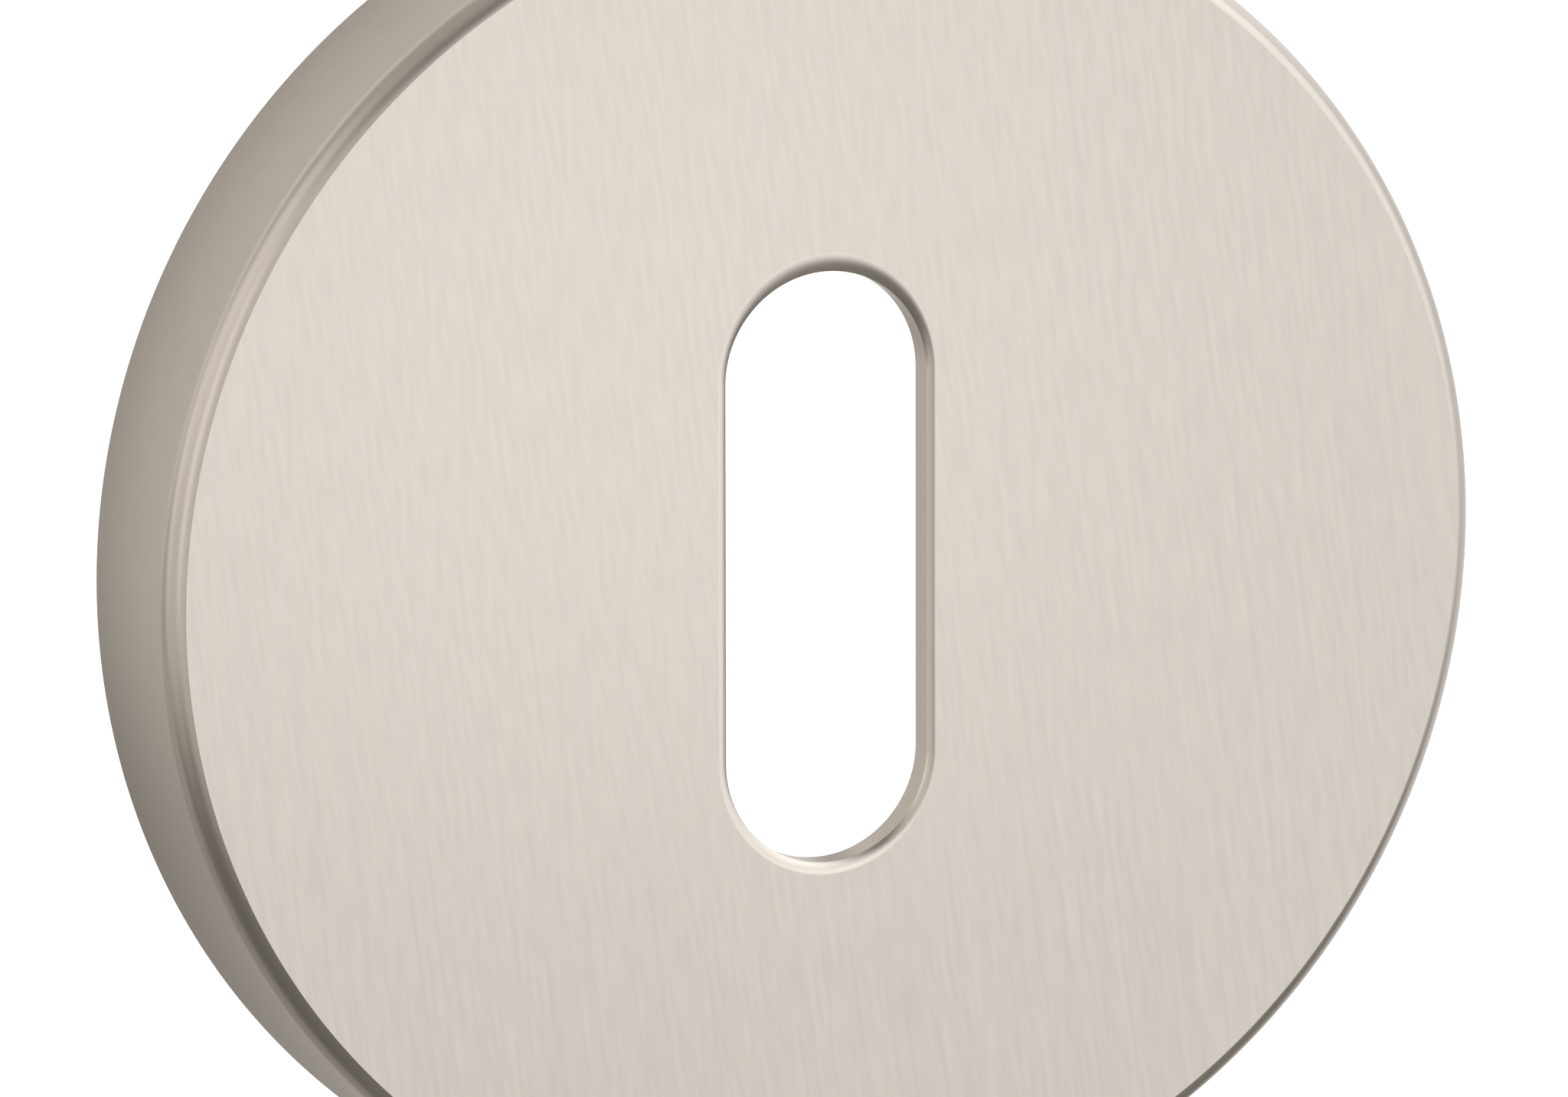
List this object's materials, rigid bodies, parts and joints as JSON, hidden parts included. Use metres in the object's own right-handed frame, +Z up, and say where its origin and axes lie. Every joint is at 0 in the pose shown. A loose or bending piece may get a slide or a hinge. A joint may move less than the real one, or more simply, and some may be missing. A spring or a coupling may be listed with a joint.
{
  "type": "door rosette",
  "caption": "Round push-fit key rosette: flat satin nickel cover with an upright obround key slot, over a moulded mounting base fixed by countersunk screws.",
  "frame": {"origin": "centre of the back of the rosette, in the plane of the door's surface", "axes": "+X to the right seen from the front, +Z up along the key slot, -Y out of the door towards the viewer and +Y into the door"},
  "size_m": [0.052, 0.0198, 0.052],
  "materials": {
    "satin_nickel": "satin nickel plate, face brushed with fine upright lines",
    "base_nylon": "fine moulded texture",
    "screw_steel": "bright zinc plate"
  },
  "bodies": {
    "root": {"cover": "satin_nickel", "base": "base_nylon", "fixing_screws": "screw_steel"}
  },
  "joints": []
}
